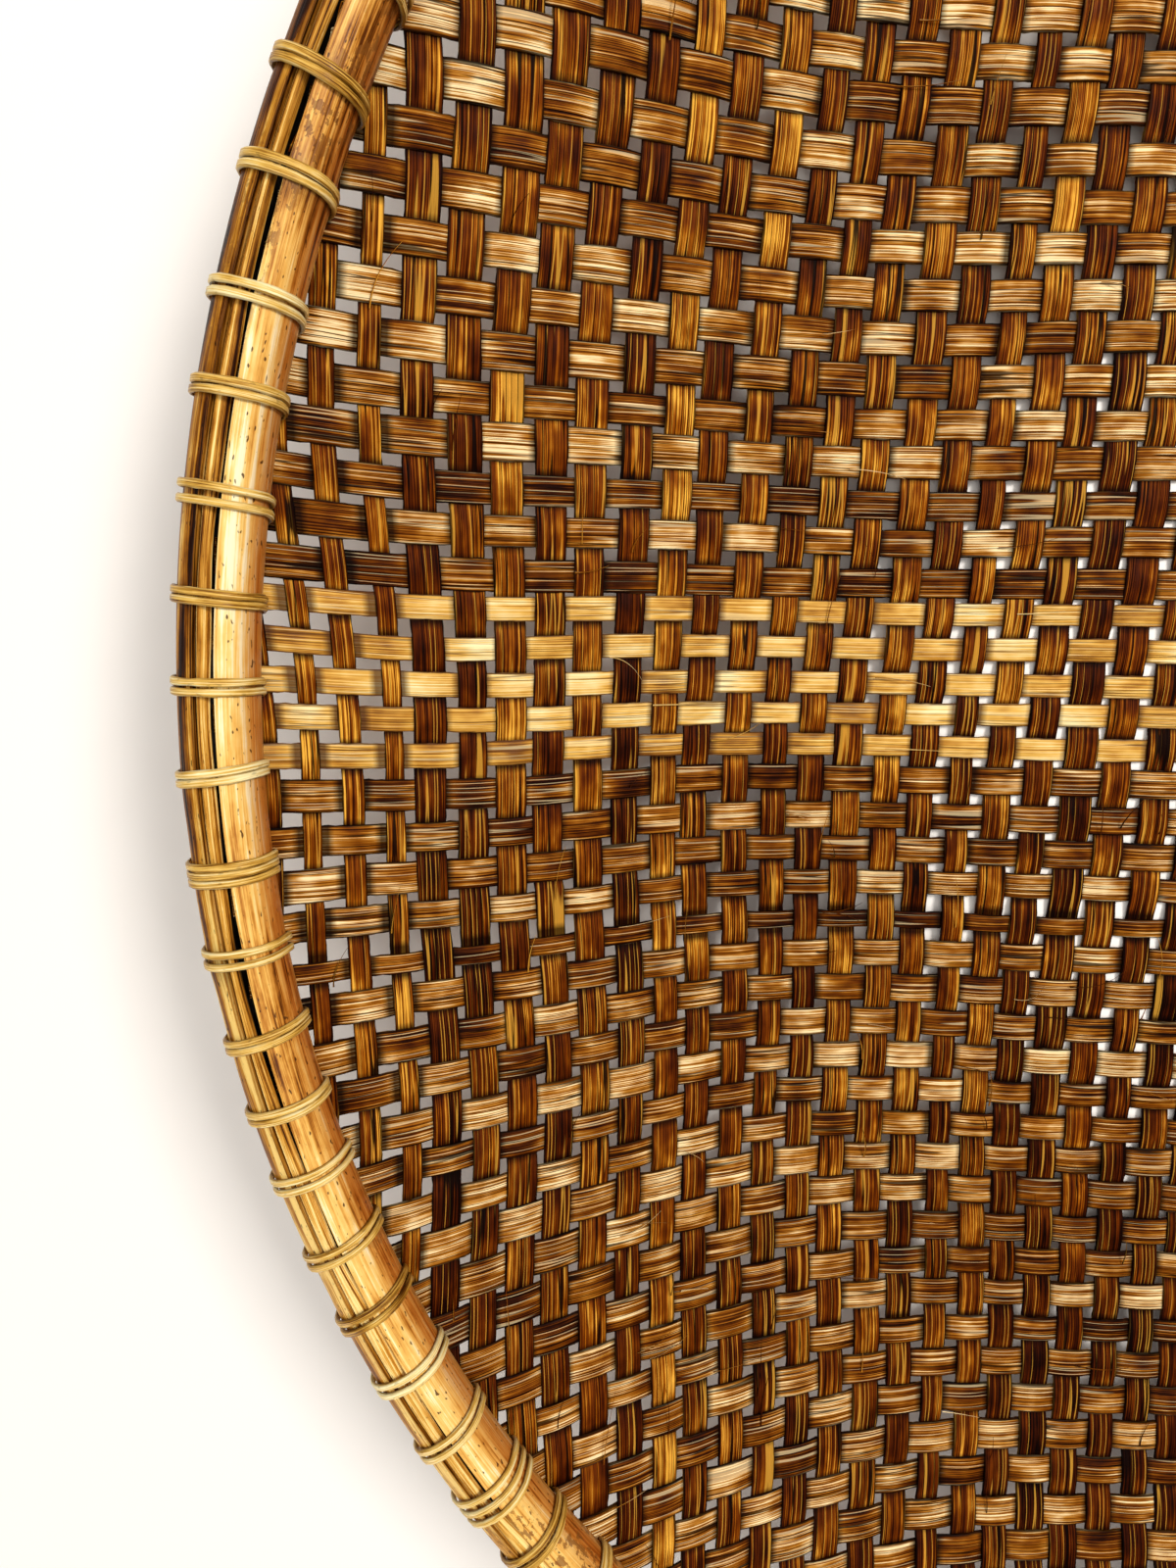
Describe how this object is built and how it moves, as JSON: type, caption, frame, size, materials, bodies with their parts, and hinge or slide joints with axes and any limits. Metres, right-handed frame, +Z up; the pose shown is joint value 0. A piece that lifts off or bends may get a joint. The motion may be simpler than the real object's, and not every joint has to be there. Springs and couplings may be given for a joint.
{
  "type": "winnowing basket",
  "caption": "Round shallow winnowing basket: plain-woven split-strip mat with a band of light wefts, clamped between two bent hoops and tied with cane lashings.",
  "frame": {"origin": "on the table under the middle of the flat floor of the tray", "axes": "+Z up out of the open tray, +X along the weft strips and their light band, +Y along the warp strips"},
  "size_m": [0.5224, 0.5224, 0.0519],
  "materials": {
    "warp": "smoke-darkened split bamboo, satin",
    "weft": "aged split bamboo, satin, fibrous",
    "light_weft": "golden split bamboo skin, semi-gloss",
    "outer_hoop": "split cane with its dark streaked skin, semi-gloss",
    "inner_hoop": "pale split cane, glossy",
    "splint": "thin golden splint, satin",
    "lashing": "flat straw-coloured cane, semi-gloss"
  },
  "bodies": {
    "root": {"warp_strips": "warp", "weft_strips_far": "weft", "weft_strips_near": "weft", "light_weft_1": "light_weft", "light_weft_2": "light_weft", "light_weft_3": "light_weft", "light_weft_4": "light_weft", "light_weft_5": "light_weft", "outer_hoop": "outer_hoop", "inner_hoop": "inner_hoop", "edge_splint": "splint", "rim_binder_1": "lashing", "rim_binder_2": "lashing", "rim_binder_3": "lashing", "rim_binder_4": "lashing", "rim_binder_5": "lashing", "rim_binder_6": "lashing", "rim_binder_7": "lashing", "rim_binder_8": "lashing"}
  },
  "joints": []
}
